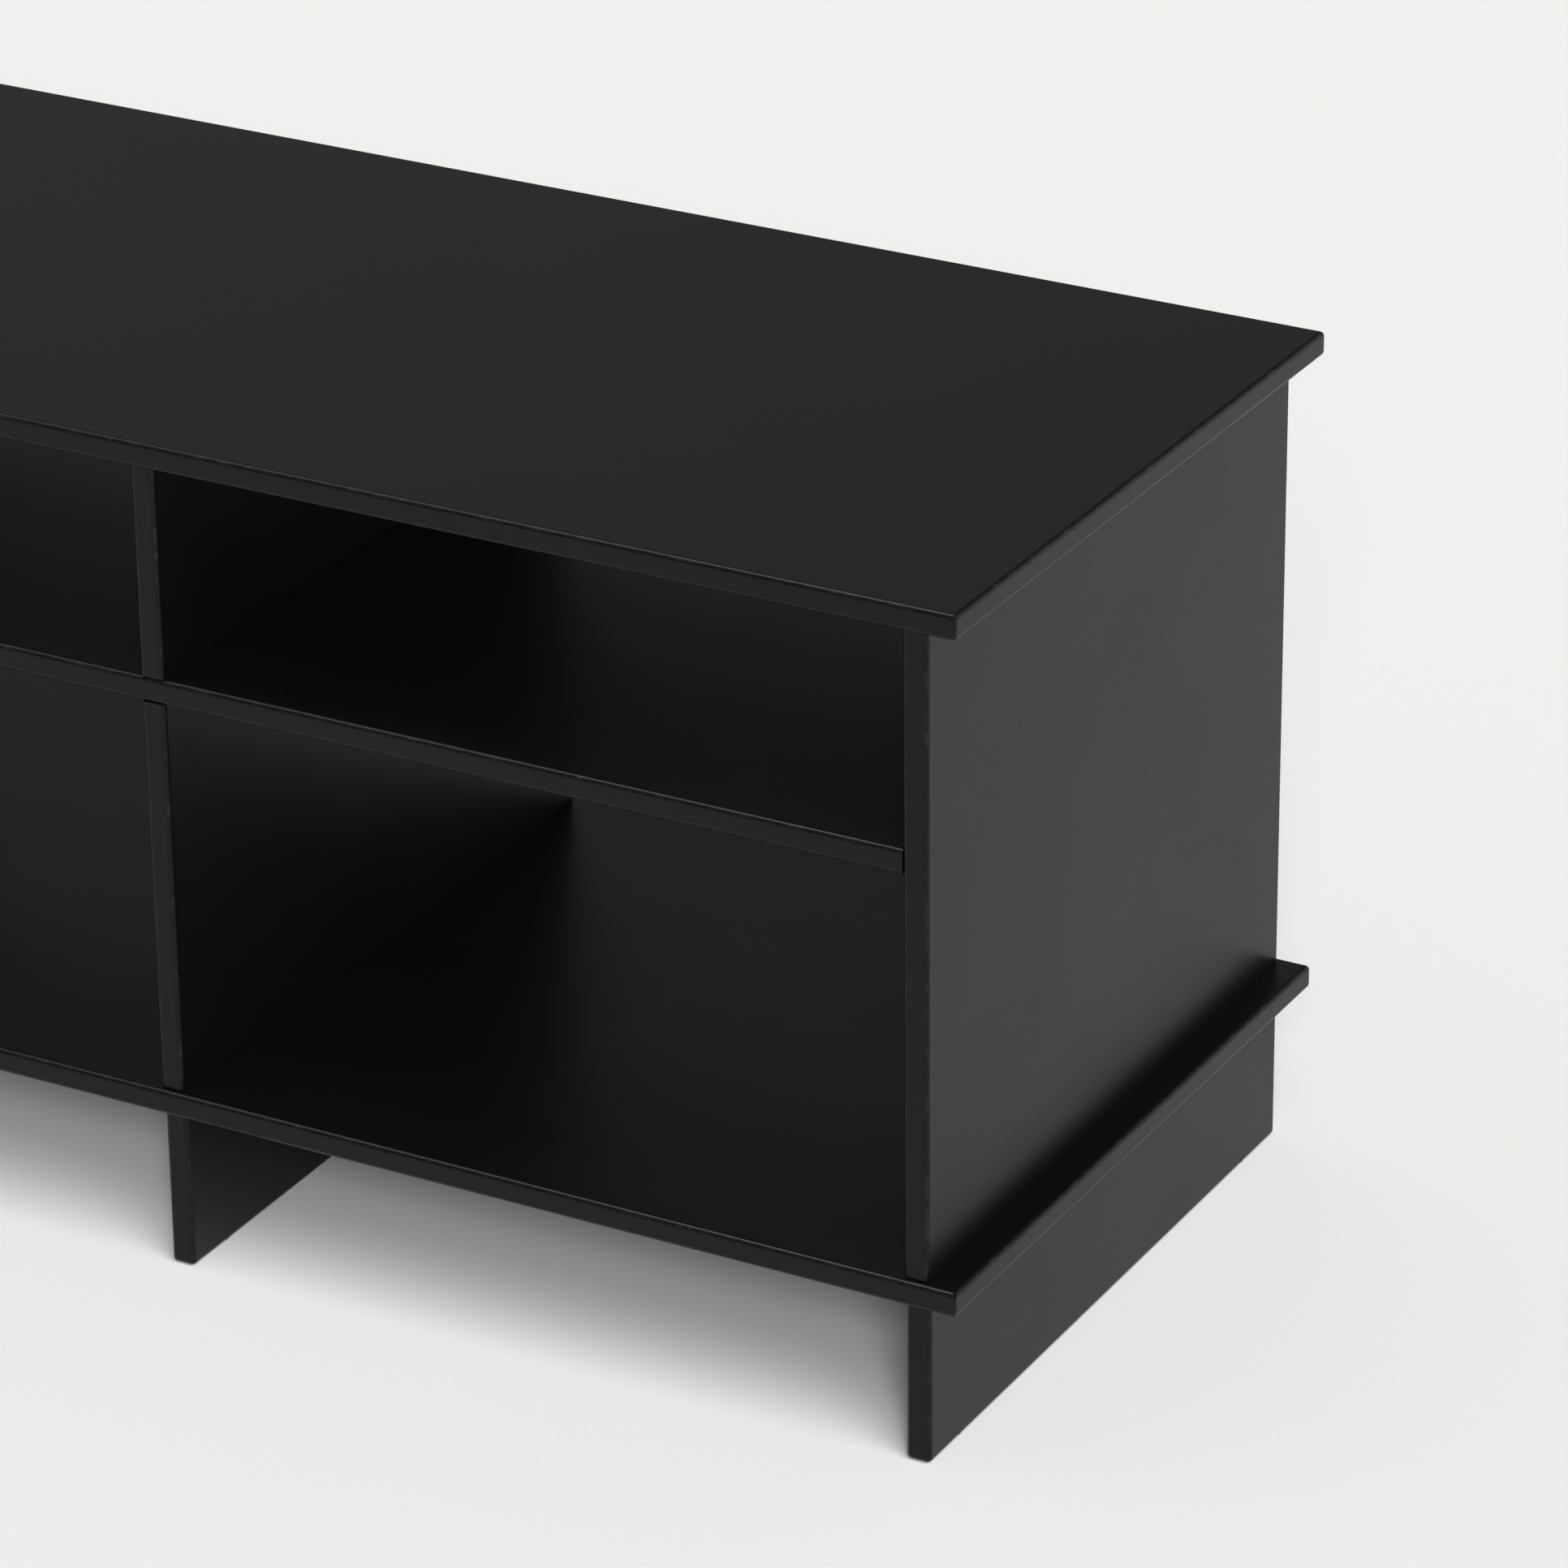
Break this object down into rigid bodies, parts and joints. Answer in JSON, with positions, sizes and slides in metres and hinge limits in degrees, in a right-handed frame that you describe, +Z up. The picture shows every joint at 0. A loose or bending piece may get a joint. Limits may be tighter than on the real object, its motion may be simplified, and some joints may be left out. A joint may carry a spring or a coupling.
{
  "type": "low open storage unit",
  "caption": "Low open black-lacquered storage unit: overhanging top and base boards, a middle shelf, dividers on two levels and foot boards under each upright.",
  "frame": {"origin": "on the floor, under the middle of the unit", "axes": "+X along the length, +Y to the back, +Z up"},
  "size_m": [1.49, 0.45, 0.515],
  "materials": {
    "black_lacquer": "satin black lacquer on fibreboard, arrises rounded",
    "beech": "plain beech, fluted for glue, hidden in the joints",
    "black_steel": "black oxide, oiled",
    "zinc_steel": "bright zinc plate",
    "nylon": "moulded black nylon"
  },
  "bodies": {
    "root": {"top_board": "black_lacquer", "middle_shelf": "black_lacquer", "base_board": "black_lacquer", "left_end_panel": "black_lacquer", "right_end_panel": "black_lacquer", "left_upper_divider": "black_lacquer", "right_upper_divider": "black_lacquer", "left_lower_divider": "black_lacquer", "right_lower_divider": "black_lacquer", "left_end_foot_board": "black_lacquer", "left_middle_foot_board": "black_lacquer", "right_middle_foot_board": "black_lacquer", "right_end_foot_board": "black_lacquer", "top_dowels": "beech", "divider_dowels": "beech", "shelf_end_dowels": "beech", "base_dowels": "beech", "foot_bolts": "black_steel", "bolt_washers": "zinc_steel", "threaded_inserts": "zinc_steel", "floor_glides": "nylon"}
  },
  "joints": []
}
